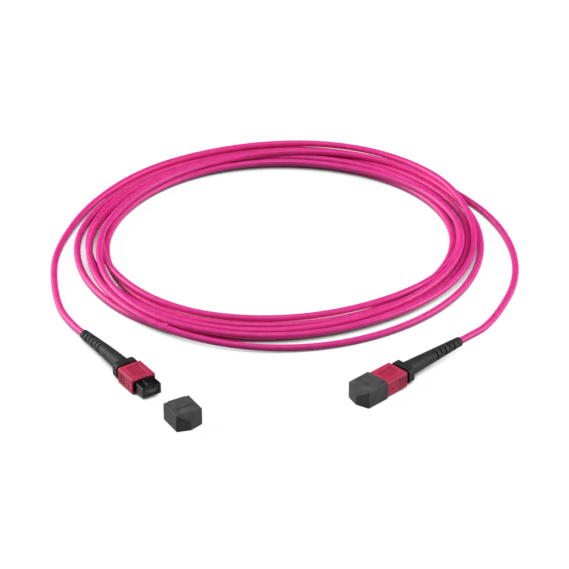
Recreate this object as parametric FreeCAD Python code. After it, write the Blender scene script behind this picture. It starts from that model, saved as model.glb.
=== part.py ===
import FreeCAD, Part
import math
import os

# Fibre cable in a loose coil with a rectangular multi-fibre push-on plug on each end.
# Millimetres, +Z up, Z = 0 is the surface that everything lies on.
# Each plug is built in a frame of its own: +X towards the mating face, +Z the key side,
# X = 0 the rear face of the push-pull sleeve, Z = 0 the plug's axis.

V = FreeCAD.Vector
ALONG = V(1, 0, 0)
UP = V(0, 0, 1)

# Cable
CABLE_D = 3.3

# Push-pull sleeve
SLEEVE_W = 12.4
SLEEVE_H = 8.0
SLEEVE_L = 13.0
SLEEVE_EDGE = 1.0
SLEEVE_RIM = 0.35
SLEEVE_TRAVEL = 1.5
PANEL_W = 6.6
PANEL_DEPTH = 0.3
PANEL_MARGIN = 1.9
LATCH_POCKET_L = 4.4
LATCH_POCKET_SIDE = 0.55
GRIP_COUNT = 5
GRIP_W = 0.6
GRIP_PITCH = 1.15
GRIP_DEPTH = 0.18
GRIP_H = 5.0
GRIP_START = 0.9
SIDE_HOLE_D = 1.0
SIDE_HOLE_BACK = 3.4
SIDE_HOLE_DROP = 0.9

# Inner housing
NOSE_W = 9.7
NOSE_H = 5.5
NOSE_OUT = 7.2
NOSE_EDGE = 0.5
NOSE_RIM = 0.35
HOUSING_BEHIND = 4.6
KEY_W = 3.0
KEY_H = 0.75
KEY_SETBACK = 1.3
RIM_NOTCH_W = 2.2
RIM_NOTCH_L = 0.6
LATCH_NOTCH_L = 1.4
LATCH_NOTCH_DEPTH = 0.55
LATCH_NOTCH_BACK = 2.6

# Ferrule and what stands behind it
FERRULE_W = 6.4
FERRULE_H = 2.5
FERRULE_L = 8.0
FERRULE_RECESS = 0.4
FERRULE_TRAVEL = 0.6
FLANGE_W = 7.0
FLANGE_H = 3.2
FLANGE_L = 2.0
GUIDE_D = 0.7
GUIDE_PITCH = 4.6
WINDOW_W = 3.6
WINDOW_L = 1.8
KEEPER_L = 1.4
RIBBON_W = 3.1
RIBBON_T = 0.32
RIBBON_SHORT = 1.8
BOOTLET_WALL = 0.32
BOOTLET_L = 4.6
BOOTLET_IN = 2.4

# Springs
FERRULE_WIRE = 0.5
FERRULE_TURNS = 3
SLEEVE_WIRE = 0.2
SLEEVE_SPRING_D = 0.78
SLEEVE_SPRING_L = 5.5
SLEEVE_TURNS = 4
GROOVE_DEPTH = 0.75
GROOVE_REAR = 0.8
LUG_L = 0.8
LUG_H = 1.0

# Spring push and crimp
PUSH_IN = 5.2
PUSH_FLANGE_L = 0.8
STUB_D = 4.4
STUB_BORE = 3.4
STUB_L = 7.6
CRIMP_WALL = 0.45
CRIMP_GRIP_L = 5.0

# Boot
SHOULDER_W = 11.6
SHOULDER_H = 7.4
SHOULDER_L = 4.2
SHOULDER_EDGE = 2.0
SHOULDER_CHAMFER = 1.0
BOOT_L = 35.0
BOOT_D = 7.6
BOOT_TIP_D = 4.6
BOOT_TIP_ROUND = 0.3
SLOT_COUNT = 6
SLOT_W = 0.9
SLOT_PITCH = 2.9
SLOT_FIRST = 2.6
SLOT_WEB = 1.8

# Dust cap
CAP_W = 13.2
CAP_H = 8.8
CAP_L = 11.8
CAP_POINT = 1.9
CAP_EDGE = 0.6
CAP_FRONT_WALL = 1.6
CAP_PANEL_W = 8.8
CAP_PANEL_H = 0.35
CAP_GAP = 0.3

# Clearances
SLIDE_GAP = 0.2
FERRULE_GAP = 0.15
FIT_GAP = 0.1
CABLE_GAP = 0.2
REST_GAP = 0.15
TRAVEL_SPARE = 0.3

# Where the plugs, the loose cap and the coil lie (place on the surface, direction of the nose)
PLUG_A_AT = (-64.8, 4.5)
PLUG_A_YAW = -56.0
PLUG_B_AT = (58.3, 1.2)
PLUG_B_YAW = 223.5
LOOSE_CAP_AT = (-42.1, -26.1)
LOOSE_CAP_YAW = -59.4
COIL_OUTER_AT = (4.1, 129.2)
COIL_OUTER_R = 101.4
COIL_INNER_AT = (4.8, 130.6)
COIL_BAND_SIDES = 17.9
COIL_BAND_ENDS = 26.8
COIL_LAYERS = 2

# Route of the free cable ends beyond the boots, from the plug to the coil (x, y)
TAIL_A_ROUTE = [(-109.6, 109.9), (-94.1, 148.9)]
TAIL_B_ROUTE = [(122.9, 98.9), (116.4, 149.9), (86.4, 186.9)]
TAIL_FIRST_RUN = 50.5

# Lengthwise stations that several pieces share
NOSE_FRONT = SLEEVE_L + NOSE_OUT
HOUSING_REAR = -HOUSING_BEHIND
FERRULE_FRONT = NOSE_FRONT - FERRULE_RECESS
FLANGE_FRONT = FERRULE_FRONT - FERRULE_L
BORE_STEP = FLANGE_FRONT + FERRULE_GAP
KEEPER_FRONT = FLANGE_FRONT - FLANGE_L
KEEPER_REAR = KEEPER_FRONT - KEEPER_L
PUSH_FRONT = HOUSING_REAR + PUSH_IN
PUSH_REAR = HOUSING_REAR - PUSH_FLANGE_L
STUB_REAR = PUSH_REAR - STUB_L
CABLE_END = STUB_REAR - FIT_GAP
SHOULDER_FRONT = -SLEEVE_TRAVEL - TRAVEL_SPARE
SHOULDER_REAR = SHOULDER_FRONT - SHOULDER_L
BOOT_TIP = SHOULDER_REAR - BOOT_L
GROOVE_FRONT = GROOVE_REAR + SLEEVE_SPRING_L + REST_GAP + LUG_L + REST_GAP
LUG_REAR = GROOVE_REAR + SLEEVE_SPRING_L + REST_GAP
CAP_DEPTH = CAP_L - CAP_FRONT_WALL
BORE_W = FLANGE_W + 2 * SLIDE_GAP
BORE_H = FLANGE_H + 2 * SLIDE_GAP
BOOTLET_W = RIBBON_W + 2 * BOOTLET_WALL
BOOTLET_H = RIBBON_T + 2 * BOOTLET_WALL
COIL_HEIGHT = COIL_LAYERS * CABLE_D
PLUG_A_HEIGHT = SLEEVE_H / 2
PLUG_B_HEIGHT = CAP_H / 2


def bar(x0, x1, width, height, y=0.0, z=0.0):
    """Block from x0 to x1, centred at y and z."""
    return Part.makeBox(x1 - x0, width, height, V(x0, y - width / 2, z - height / 2))


def edges_along(shape, direction):
    """Straight edges of a shape that run along a direction."""
    return [e for e in shape.Edges if abs(abs(e.tangentAt(e.FirstParameter).dot(direction)) - 1) < 1e-6]


def round_bar(x0, x1, width, height, radius):
    """Block whose four long edges are rounded."""
    block = bar(x0, x1, width, height)
    return block.makeFillet(radius, edges_along(block, ALONG))


def rod(x0, x1, diameter, y=0.0, z=0.0):
    """Cylinder along the plug's axis."""
    return Part.makeCylinder(diameter / 2, x1 - x0, V(x0, y, z), ALONG)


def edges_at(shape, x):
    """Edges that lie wholly in the plane at x."""
    return [e for e in shape.Edges if abs(e.BoundBox.XMin - x) < 1e-6 and abs(e.BoundBox.XMax - x) < 1e-6]


def wire_spring(x0, length, turns, half_w, half_h, wire, y=0.0):
    """Open coil of square wire: an oval of the given half sizes that advances along the axis."""
    steps = 12 * turns
    path = []
    for i in range(steps + 1):
        turn = 2 * math.pi * i / 12
        x = x0 + wire / 2 + (length - wire) * i / steps
        path.append(V(x, y + half_w * math.cos(turn), half_h * math.sin(turn)))
    curve = Part.BSplineCurve()
    curve.interpolate(path)
    spine = Part.Wire(curve.toShape())
    tangent = curve.tangent(curve.FirstParameter)[0]
    side = ALONG.cross(tangent).normalize()
    rise = tangent.cross(side).normalize()
    a = side * (wire / 2)
    b = rise * (wire / 2)
    corners = [path[0] + a + b, path[0] - a + b, path[0] - a - b, path[0] + a - b, path[0] + a + b]
    sweep = Part.BRepOffsetAPI.MakePipeShell(spine)
    sweep.setFrenetMode(True)
    sweep.add(Part.makePolygon(corners))
    sweep.build()
    sweep.makeSolid()
    return sweep.shape()


def coupling_sleeve():
    """Push-pull sleeve: slides back over the housing to free the latches."""
    body = round_bar(0, SLEEVE_L, SLEEVE_W, SLEEVE_H, SLEEVE_EDGE)
    body = body.makeChamfer(SLEEVE_RIM, edges_at(body, 0) + edges_at(body, SLEEVE_L))
    bore_w = NOSE_W + 2 * SLIDE_GAP
    bore_h = NOSE_H + 2 * SLIDE_GAP
    body = body.cut(round_bar(-1, SLEEVE_L + 1, bore_w, bore_h, NOSE_EDGE))
    pocket_w = bore_w + 2 * LATCH_POCKET_SIDE
    pocket_h = bore_h - 2 * NOSE_EDGE
    body = body.cut(bar(SLEEVE_L - LATCH_POCKET_L, SLEEVE_L + 1, pocket_w, pocket_h))
    panel_z = SLEEVE_H / 2
    panel = bar(PANEL_MARGIN, SLEEVE_L - PANEL_MARGIN, PANEL_W, 2 * PANEL_DEPTH, z=panel_z)
    body = body.cut(panel)
    for side in (1, -1):
        for i in range(GRIP_COUNT):
            x = GRIP_START + i * GRIP_PITCH
            body = body.cut(bar(x, x + GRIP_W, 2 * GRIP_DEPTH, GRIP_H, y=side * SLEEVE_W / 2))
        lug_in = NOSE_W / 2 - GROOVE_DEPTH + REST_GAP
        lug_out = bore_w / 2 + FIT_GAP
        lug_y = side * (lug_in + lug_out) / 2
        body = body.fuse(bar(LUG_REAR, LUG_REAR + LUG_L, lug_out - lug_in, LUG_H, y=lug_y))
    hole = Part.makeCylinder(SIDE_HOLE_D / 2, SLEEVE_W + 2, V(SLEEVE_L - SIDE_HOLE_BACK, -SLEEVE_W / 2 - 1,
                                                             -SIDE_HOLE_DROP), V(0, 1, 0))
    return body.cut(hole).removeSplitter()


def inner_housing():
    """Housing that carries the ferrule; its nose stands out of the sleeve and bears the key rail."""
    body = round_bar(HOUSING_REAR, NOSE_FRONT, NOSE_W, NOSE_H, NOSE_EDGE)
    body = body.makeChamfer(NOSE_RIM, edges_at(body, NOSE_FRONT))
    key_x0 = SLEEVE_L + CAP_GAP
    key = bar(key_x0, NOSE_FRONT - KEY_SETBACK, KEY_W, KEY_H + 1, z=NOSE_H / 2 + (KEY_H - 1) / 2)
    body = body.fuse(key)
    body = body.cut(bar(HOUSING_REAR - 1, BORE_STEP, BORE_W, BORE_H))
    body = body.cut(bar(BORE_STEP - 1, NOSE_FRONT + 1, FERRULE_W + 2 * FERRULE_GAP, FERRULE_H + 2 * FERRULE_GAP))
    notch = bar(NOSE_FRONT - RIM_NOTCH_L, NOSE_FRONT + 1, RIM_NOTCH_W, NOSE_H / 2, z=NOSE_H / 2)
    body = body.cut(notch)
    groove_h = LUG_H + 2 * REST_GAP
    latch_x = SLEEVE_L - LATCH_NOTCH_BACK - LATCH_NOTCH_L
    for side in (1, -1):
        edge = side * NOSE_W / 2
        body = body.cut(bar(GROOVE_REAR, GROOVE_FRONT, 2 * GROOVE_DEPTH, groove_h, y=edge))
        body = body.cut(bar(latch_x, latch_x + LATCH_NOTCH_L, 2 * LATCH_NOTCH_DEPTH, NOSE_H, y=edge))
    return body.removeSplitter()


def ferrule():
    """Rectangular ferrule with a rear flange, two guide holes and the window over the fibres."""
    body = bar(FLANGE_FRONT, FERRULE_FRONT, FERRULE_W, FERRULE_H)
    body = body.fuse(bar(KEEPER_FRONT, FLANGE_FRONT, FLANGE_W, FLANGE_H))
    seat = KEEPER_FRONT + BOOTLET_IN + FIT_GAP
    body = body.cut(bar(KEEPER_FRONT - 1, seat, BOOTLET_W + 2 * FIT_GAP, BOOTLET_H + 2 * FIT_GAP))
    slot_end = FERRULE_FRONT - RIBBON_SHORT + FIT_GAP
    body = body.cut(bar(seat - 1, slot_end, RIBBON_W + 2 * FIT_GAP, RIBBON_T + 2 * FIT_GAP))
    window_x = slot_end - WINDOW_L
    body = body.cut(bar(window_x, slot_end, WINDOW_W, FERRULE_H, z=FERRULE_H / 2))
    for side in (1, -1):
        body = body.cut(rod(KEEPER_FRONT - 1, FERRULE_FRONT + 1, GUIDE_D, y=side * GUIDE_PITCH / 2))
    return body.removeSplitter()


def pin_keeper():
    """Plate behind the ferrule that the spring presses on."""
    body = bar(KEEPER_REAR, KEEPER_FRONT, FLANGE_W, FLANGE_H)
    passage = bar(KEEPER_REAR - 1, KEEPER_FRONT + 1, BOOTLET_W + 2 * FIT_GAP, BOOTLET_H + 2 * FIT_GAP)
    return body.cut(passage)


def ferrule_boot():
    """Rubber sleeve that the ribbon enters the ferrule through."""
    front = KEEPER_FRONT + BOOTLET_IN
    body = bar(front - BOOTLET_L, front, BOOTLET_W, BOOTLET_H)
    return body.cut(bar(front - BOOTLET_L - 1, front + 1, RIBBON_W, RIBBON_T))


def fibre_ribbon():
    """The fibres side by side, from the ferrule back to the end of the crimp stub."""
    return bar(STUB_REAR + FERRULE_TRAVEL + FIT_GAP, FERRULE_FRONT - RIBBON_SHORT, RIBBON_W, RIBBON_T)


def spring_push():
    """Block that closes the back of the housing, with the stub that the cable is crimped on."""
    body = bar(HOUSING_REAR, PUSH_FRONT, BORE_W - 2 * FIT_GAP, BORE_H - 2 * FIT_GAP)
    body = body.fuse(round_bar(PUSH_REAR, HOUSING_REAR, NOSE_W, NOSE_H, NOSE_EDGE))
    body = body.fuse(rod(STUB_REAR, PUSH_REAR, STUB_D))
    body = body.cut(rod(STUB_REAR - 1, PUSH_REAR, STUB_BORE))
    body = body.cut(bar(PUSH_REAR - 1, PUSH_FRONT + 1, RIBBON_W + 2 * FIT_GAP, RIBBON_T + 4 * FIT_GAP))
    return body.removeSplitter()


def crimp_ring():
    """Stepped metal ring: the wide end grips the stub, the narrow end grips the cable's jacket."""
    wide_in = STUB_D / 2 + FIT_GAP
    slim_in = CABLE_D / 2 + FIT_GAP
    step = STUB_REAR - FIT_GAP
    front = PUSH_REAR - FIT_GAP
    rear = step - CRIMP_GRIP_L
    outline = [V(front, wide_in, 0), V(front, wide_in + CRIMP_WALL, 0), V(step - CRIMP_WALL, wide_in + CRIMP_WALL, 0),
               V(step - CRIMP_WALL, slim_in + CRIMP_WALL, 0), V(rear, slim_in + CRIMP_WALL, 0), V(rear, slim_in, 0),
               V(step, slim_in, 0), V(step, wide_in, 0), V(front, wide_in, 0)]
    return Part.Face(Part.makePolygon(outline)).revolve(V(0, 0, 0), ALONG, 360)


def boot():
    """Strain-relief boot: a shoulder behind the sleeve and a tapering tail with staggered slots."""
    shoulder = round_bar(SHOULDER_REAR, SHOULDER_FRONT, SHOULDER_W, SHOULDER_H, SHOULDER_EDGE)
    shoulder = shoulder.makeChamfer(SHOULDER_CHAMFER, edges_at(shoulder, SHOULDER_REAR))
    tail = Part.makeCone(BOOT_D / 2, BOOT_TIP_D / 2, BOOT_L, V(SHOULDER_REAR, 0, 0), V(-1, 0, 0))
    tail = tail.makeChamfer(BOOT_TIP_ROUND, edges_at(tail, BOOT_TIP))
    root = rod(SHOULDER_REAR, SHOULDER_REAR + SHOULDER_L / 2, BOOT_D)
    body = shoulder.fuse([root, tail]).removeSplitter()
    pocket_rear = PUSH_REAR - FIT_GAP
    pocket = round_bar(pocket_rear, SHOULDER_FRONT + 1, NOSE_W + 2 * FIT_GAP, NOSE_H + 2 * FIT_GAP, NOSE_EDGE)
    crimp_step = STUB_REAR - FIT_GAP - CRIMP_WALL
    crimp_rear = STUB_REAR - FIT_GAP - CRIMP_GRIP_L
    wide_d = STUB_D + 2 * (FIT_GAP + CRIMP_WALL + FIT_GAP)
    slim_d = CABLE_D + 2 * (FIT_GAP + CRIMP_WALL + FIT_GAP)
    body = body.cut(pocket)
    body = body.cut(rod(crimp_step, pocket_rear + 1, wide_d))
    body = body.cut(rod(crimp_rear - FIT_GAP, crimp_step + 1, slim_d))
    body = body.cut(rod(BOOT_TIP - 1, crimp_rear, CABLE_D + 2 * CABLE_GAP))
    for i in range(SLOT_COUNT):
        x = BOOT_TIP + SLOT_FIRST + i * SLOT_PITCH
        for side in (1, -1):
            offset = side * (SLOT_WEB + BOOT_D) / 2
            if i % 2 == 0:
                body = body.cut(bar(x, x + SLOT_W, 2 * BOOT_D, BOOT_D, z=offset))
            else:
                body = body.cut(bar(x, x + SLOT_W, BOOT_D, 2 * BOOT_D, y=offset))
    return body.removeSplitter()


def dust_cap():
    """Cap for the nose: a box with a raised channel for the key rail; its blind end is a prow, sloped on top."""
    reach = CAP_L + CAP_POINT
    side_cut = math.degrees(math.atan2(CAP_POINT, CAP_W / 2))
    top_cut = math.degrees(math.atan2(CAP_POINT, CAP_H / 2))
    body = round_bar(0, reach, CAP_W, CAP_H, CAP_EDGE)
    for turn, lean in ((0, top_cut), (90, side_cut), (270, side_cut)):
        waste = bar(reach, reach + CAP_W, 2 * CAP_W, 2 * CAP_W, z=CAP_W)
        waste.rotate(V(reach, 0, 0), V(0, 1, 0), -lean)
        waste.rotate(V(0, 0, 0), ALONG, turn)
        body = body.cut(waste)
    panel = bar(0, NOSE_OUT, CAP_PANEL_W, CAP_H / 2 + CAP_PANEL_H, z=(CAP_H / 2 + CAP_PANEL_H) / 2)
    body = body.fuse(panel).removeSplitter()
    body = body.cut(bar(-1, CAP_DEPTH, NOSE_W + 2 * SLIDE_GAP, NOSE_H + 2 * SLIDE_GAP))
    channel_top = NOSE_H / 2 + KEY_H + SLIDE_GAP
    body = body.cut(bar(-1, NOSE_OUT, KEY_W + 2 * SLIDE_GAP, channel_top, z=channel_top / 2))
    return body


def cable_tail(points, name):
    """Cable along straight runs joined by arcs that are as large as the runs allow."""
    edges = []
    start = points[0]
    length = 0.0
    radii = []
    for before, corner, after in zip(points, points[1:], points[2:]):
        back = before - corner
        ahead = after - corner
        reach = 0.45 * min(back.Length, ahead.Length)
        back.normalize()
        ahead.normalize()
        half_turn = (math.pi - back.getAngle(ahead)) / 2
        radius = reach / math.tan(half_turn)
        radii.append(round(radius, 1))
        first = corner + back * reach
        last = corner + ahead * reach
        inward = (back + ahead).normalize()
        middle = corner + inward * (radius / math.cos(half_turn) - radius)
        edges.append(Part.LineSegment(start, first).toShape())
        edges.append(Part.Arc(first, middle, last).toShape())
        length += (first - start).Length + radius * 2 * half_turn
        start = last
    edges.append(Part.LineSegment(start, points[-1]).toShape())
    length += (points[-1] - start).Length
    direction = points[1] - points[0]
    section = Part.Wire(Part.makeCircle(CABLE_D / 2, points[0], direction))
    tube = Part.Wire(edges).makePipeShell([section], True, False)
    share = tube.Volume / (math.pi * CABLE_D ** 2 / 4 * length)
    print(name, "length", round(length, 1), "arc radii", radii, "volume share", round(share, 4))
    return tube


def cable_coil():
    """Outer shape of the coiled cable: a low ring, wider where the turns fan out."""
    disc = Part.makeCylinder(COIL_OUTER_R, COIL_HEIGHT, V(COIL_OUTER_AT[0], COIL_OUTER_AT[1], 0))
    inner_at = V(COIL_INNER_AT[0], COIL_INNER_AT[1], 0)
    half_x = COIL_OUTER_R - COIL_BAND_SIDES
    half_y = COIL_OUTER_R - COIL_BAND_ENDS
    oval = Part.Wire(Part.Ellipse(inner_at, half_x, half_y).toShape())
    return disc.cut(Part.Face(oval).extrude(UP * COIL_HEIGHT))


def lay(shape, at, yaw, height):
    """Puts a piece down at a place on the surface, turned to its yaw."""
    placed = shape.copy()
    spot = FreeCAD.Placement(V(at[0], at[1], height), FreeCAD.Rotation(UP, yaw))
    placed.Placement = spot.multiply(shape.Placement)
    return placed


def tail_points(at, yaw, height, route):
    """Points of a free cable end: out of the boot along the plug's axis, then along its route."""
    turn = math.radians(yaw)
    nose = V(math.cos(turn), math.sin(turn), 0)
    end = V(at[0], at[1], height) + nose * CABLE_END
    floor = CABLE_D / 2
    return [end, end - nose * TAIL_FIRST_RUN] + [V(x, y, floor) for x, y in route]


def sleeve_springs():
    """The two springs in the housing's side grooves that push the sleeve forward."""
    half = (SLEEVE_SPRING_D - SLEEVE_WIRE) / 2
    centre = NOSE_W / 2 - GROOVE_DEPTH + FIT_GAP + SLEEVE_SPRING_D / 2
    pair = [wire_spring(GROOVE_REAR, SLEEVE_SPRING_L, SLEEVE_TURNS, half, half, SLEEVE_WIRE, y=side * centre)
            for side in (1, -1)]
    return Part.makeCompound(pair)


def ferrule_spring():
    """Oval spring between the spring push and the pin keeper."""
    half_w = (FLANGE_W - FERRULE_WIRE) / 2
    half_h = (FLANGE_H - FERRULE_WIRE) / 2
    length = KEEPER_REAR - REST_GAP - PUSH_FRONT
    return wire_spring(PUSH_FRONT, length, FERRULE_TURNS, half_w, half_h, FERRULE_WIRE)


plug = {
    "boot": boot(),
    "crimp_ring": crimp_ring(),
    "spring_push": spring_push(),
    "inner_housing": inner_housing(),
    "coupling_sleeve": coupling_sleeve(),
    "sleeve_springs": sleeve_springs(),
    "ferrule": ferrule(),
    "pin_keeper": pin_keeper(),
    "ferrule_boot": ferrule_boot(),
    "fibre_ribbon": fibre_ribbon(),
    "ferrule_spring": ferrule_spring(),
}
cap = dust_cap()

nodes = {}
for end, at, yaw, height in (("a", PLUG_A_AT, PLUG_A_YAW, PLUG_A_HEIGHT), ("b", PLUG_B_AT, PLUG_B_YAW, PLUG_B_HEIGHT)):
    for name, shape in plug.items():
        nodes[name + "_" + end] = lay(shape, at, yaw, height)
worn_cap = cap.copy()
worn_cap.translate(V(SLEEVE_L + CAP_GAP, 0, 0))
nodes["dust_cap_a"] = lay(cap, LOOSE_CAP_AT, LOOSE_CAP_YAW, CAP_H / 2)
nodes["dust_cap_b"] = lay(worn_cap, PLUG_B_AT, PLUG_B_YAW, PLUG_B_HEIGHT)
tail_a = tail_points(PLUG_A_AT, PLUG_A_YAW, PLUG_A_HEIGHT, TAIL_A_ROUTE)
tail_b = tail_points(PLUG_B_AT, PLUG_B_YAW, PLUG_B_HEIGHT, TAIL_B_ROUTE)
nodes["cable_tail_a"] = cable_tail(tail_a, "cable_tail_a")
nodes["cable_tail_b"] = cable_tail(tail_b, "cable_tail_b")
nodes["cable_coil"] = cable_coil()

os.makedirs("parts", exist_ok=True)
for name, shape in nodes.items():
    shape.exportStep("parts/" + name + ".step")
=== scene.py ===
import bmesh
import bpy
import math
import numpy as np
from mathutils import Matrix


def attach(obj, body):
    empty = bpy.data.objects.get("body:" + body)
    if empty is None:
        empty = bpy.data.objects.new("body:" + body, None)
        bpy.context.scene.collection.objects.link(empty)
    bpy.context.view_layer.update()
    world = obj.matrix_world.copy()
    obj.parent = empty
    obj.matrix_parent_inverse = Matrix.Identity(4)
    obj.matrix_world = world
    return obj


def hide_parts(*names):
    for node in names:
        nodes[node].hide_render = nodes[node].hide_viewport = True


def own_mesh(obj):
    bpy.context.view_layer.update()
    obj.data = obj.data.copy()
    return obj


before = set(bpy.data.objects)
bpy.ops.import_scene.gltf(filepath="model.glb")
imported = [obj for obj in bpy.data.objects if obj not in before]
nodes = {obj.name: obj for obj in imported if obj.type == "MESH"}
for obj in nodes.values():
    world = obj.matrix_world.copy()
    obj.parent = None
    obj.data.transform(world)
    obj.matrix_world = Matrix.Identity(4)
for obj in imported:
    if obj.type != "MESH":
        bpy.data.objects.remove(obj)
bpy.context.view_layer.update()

# Cable: one length of round fibre cable, 3.3 mm across, in a satin magenta jacket that is extruded
# round the fibres and their yarn. It runs out of one boot, round six loose turns and into the other boot.
CABLE_D = 0.0033
CABLE_LENGTH = 3.95
FLOOR_LINE = CABLE_D / 2
COIL_CENTRE = (0.0044, 0.1289)
COIL_STEP = 15
SMOOTH_SPAN = 20
SETTLE_PASSES = 8
LAYER_APART = 0.7
STIFF_DROP = 0.00012
TAIL_A = [(-0.07213, 0.01536, 0.003945), (-0.08278, 0.03115, 0.003345), (-0.09256, 0.04566, 0.002035),
          (-0.10138, 0.06321, FLOOR_LINE), (-0.10594, 0.09094, FLOOR_LINE), (-0.10651, 0.11621, FLOOR_LINE),
          (-0.09713, 0.15316, FLOOR_LINE)]
TAIL_B = [(0.0864, 0.1869, FLOOR_LINE), (0.1148, 0.1468, FLOOR_LINE), (0.1220, 0.0960, FLOOR_LINE),
          (0.10443, 0.04498, 0.0044), (0.08992, 0.03121, 0.0044), (0.0678, 0.01022, 0.0044)]
# Each turn's stations: angle from +X in degrees, radius in mm, and which strand lies on which (a higher
# number is on top where two meet).
TURNS = [
    [(150, 99.0, 0), (135, 94.6, 4), (120, 91.9, 8), (105, 92.0, 8), (90, 93.6, 8), (75, 96.7, 8), (60, 98.0, 8),
     (45, 97.7, 8), (30, 97.2, 9), (15, 96.5, 9), (0, 96.1, 9), (-15, 95.8, 8), (-30, 94.1, 8), (-45, 91.5, 8),
     (-60, 90.3, 8), (-75, 91.7, 8), (-90, 93.9, 8), (-120, 98.9, 8), (-135, 98.2, 8), (-150, 95.8, 7),
     (-180, 87.8, 8)],
    [(165, 84.2, 8), (150, 81.3, 8), (120, 80.3, 8), (90, 84.3, 8), (75, 88.0, 8), (60, 91.4, 7), (45, 94.6, 5),
     (30, 97.5, 2), (15, 98.4, 0), (0, 99.4, 0), (-30, 100.2, 0), (-60, 100.1, 0), (-75, 101.1, 0),
     (-90, 101.6, 0), (-112, 102.6, 2), (-122, 102.9, 4), (-135, 101.6, 9), (-150, 98.9, 9), (-180, 93.7, 9)],
    [(165, 90.2, 6), (150, 88.2, 3), (120, 84.9, 0), (90, 85.0, 0), (75, 85.6, 0), (60, 87.2, 0), (30, 90.0, 0),
     (15, 89.9, 0), (0, 89.1, 0), (-12, 88.2, 1), (-22, 86.4, 3), (-35, 84.0, 5), (-48, 80.8, 3), (-60, 77.8, 2),
     (-75, 77.2, 2), (-90, 78.0, 2), (-105, 80.9, 2), (-120, 84.2, 2), (-135, 86.4, 5), (-150, 88.6, 4),
     (-180, 89.5, 0)],
    [(165, 87.1, 0), (150, 84.9, 0), (120, 81.6, 0), (105, 78.8, 0), (90, 76.9, 0), (60, 79.7, 0), (30, 84.5, 0),
     (15, 86.0, 0), (0, 86.0, 0), (-15, 84.9, 0), (-30, 82.6, 0), (-45, 81.4, 0), (-60, 80.6, 0), (-75, 79.6, 0),
     (-90, 80.4, 0), (-105, 82.8, 0), (-120, 86.3, 0), (-135, 88.3, 0), (-150, 88.4, 0), (-180, 86.2, 0)],
    [(165, 83.8, 0), (150, 81.6, 0), (120, 78.3, 1), (105, 75.9, 4), (90, 75.0, 7), (75, 75.6, 7), (60, 77.2, 7),
     (45, 80.6, 7), (30, 84.7, 7), (0, 90.4, 7), (-15, 90.0, 7), (-30, 88.4, 6), (-45, 86.2, 5), (-60, 84.1, 3),
     (-75, 84.2, 2), (-90, 85.5, 2), (-120, 89.9, 2), (-135, 91.6, 1), (-150, 93.0, 0), (-180, 96.2, 0)],
    [(165, 94.1, 0), (150, 91.9, 0), (120, 88.2, 0), (90, 89.2, 0), (60, 91.2, 0), (45, 92.9, 0), (30, 94.3, 0),
     (15, 95.0, 0), (0, 93.0, 0), (-15, 91.7, 0), (-30, 90.0, 0), (-45, 88.5, 0), (-60, 87.7, 0), (-75, 88.6, 0),
     (-90, 91.0, 0), (-105, 95.0, 0), (-120, 99.3, 0), (-135, 101.6, 0), (-150, 101.8, 0), (-180, 101.4, 0)],
    [(165, 97.3, 0), (150, 95.5, 0), (120, 91.6, 0), (90, 93.3, 0), (75, 94.9, 0), (60, 96.8, 0), (45, 99.6, 0)],
]


def settle(radius, layer, per_turn):
    """Height of each point of the turns: a strand rests on the floor, or on a strand that lies more than LAYER_APART
    lower in the order of layers, where it rises by the leg of a right triangle whose hypotenuse is a diameter and
    whose other leg is the difference of radii. Beside a crossing the stiff cable comes down slowly: no point lies
    more than STIFF_DROP below the middle of its two neighbours."""
    height = np.full(len(radius), FLOOR_LINE)
    for _ in range(SETTLE_PASSES):
        for column in range(per_turn):
            stack = np.arange(column, len(radius), per_turn)
            stack = stack[np.argsort(layer[stack], kind="stable")]
            for count, strand in enumerate(stack):
                under = stack[:count][layer[stack[:count]] < layer[strand] - LAYER_APART]
                aside = np.minimum(np.abs(radius[under] - radius[strand]), CABLE_D)
                rise = np.where(aside < CABLE_D, height[under] + np.sqrt(CABLE_D ** 2 - aside ** 2), FLOOR_LINE)
                height[strand] = max(height[strand], rise.max(initial=FLOOR_LINE))
        height[1:-1] = np.maximum(height[1:-1], 0.5 * (height[:-2] + height[2:]) - STIFF_DROP)
    return height


def coil_route(turns):
    """Control points of the turns: radius and layer are read between the stations and smoothed over SMOOTH_SPAN
    degrees to each side, then one point is set every COIL_STEP degrees; radii grow by the share that a quadratic
    spline pulls inside."""
    rows = np.array([(360 * turn - angle, radius / 1000, layer)
                     for turn, stations in enumerate(turns) for angle, radius, layer in stations])
    sweep = np.arange(rows[0, 0], rows[-1, 0] + 0.5)
    window = np.hanning(2 * SMOOTH_SPAN + 1)
    window /= window.sum()
    padded = [np.pad(np.interp(sweep, rows[:, 0], column), SMOOTH_SPAN, mode="edge") for column in rows[:, 1:].T]
    radius, layer = (np.convolve(values, window, "valid") for values in padded)
    pick = np.arange(0, len(sweep), COIL_STEP)
    height = settle(radius[pick], layer[pick], 360 // COIL_STEP)
    angle = -np.radians(sweep[pick])
    reach = radius[pick] / (0.75 + 0.25 * math.cos(math.radians(COIL_STEP)))
    return np.stack([COIL_CENTRE[0] + reach * np.cos(angle), COIL_CENTRE[1] + reach * np.sin(angle), height], 1)


cable_route = np.vstack([TAIL_A, coil_route(TURNS), TAIL_B])
cable_curve = bpy.data.curves.new("cable", "CURVE")
cable_curve.dimensions = "3D"
cable_line = cable_curve.splines.new("NURBS")
cable_line.points.add(len(cable_route) - 1)
cable_line.points.foreach_set("co", np.column_stack([cable_route, np.ones(len(cable_route))]).ravel())
cable_line.order_u = 3
cable_line.use_endpoint_u = True
cable_line.resolution_u = 8
cable_curve.bevel_depth = CABLE_D / 2
cable_curve.bevel_resolution = 6
cable_curve.use_fill_caps = True
cable = bpy.data.objects.new("cable", cable_curve)
bpy.context.scene.collection.objects.link(cable)

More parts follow.
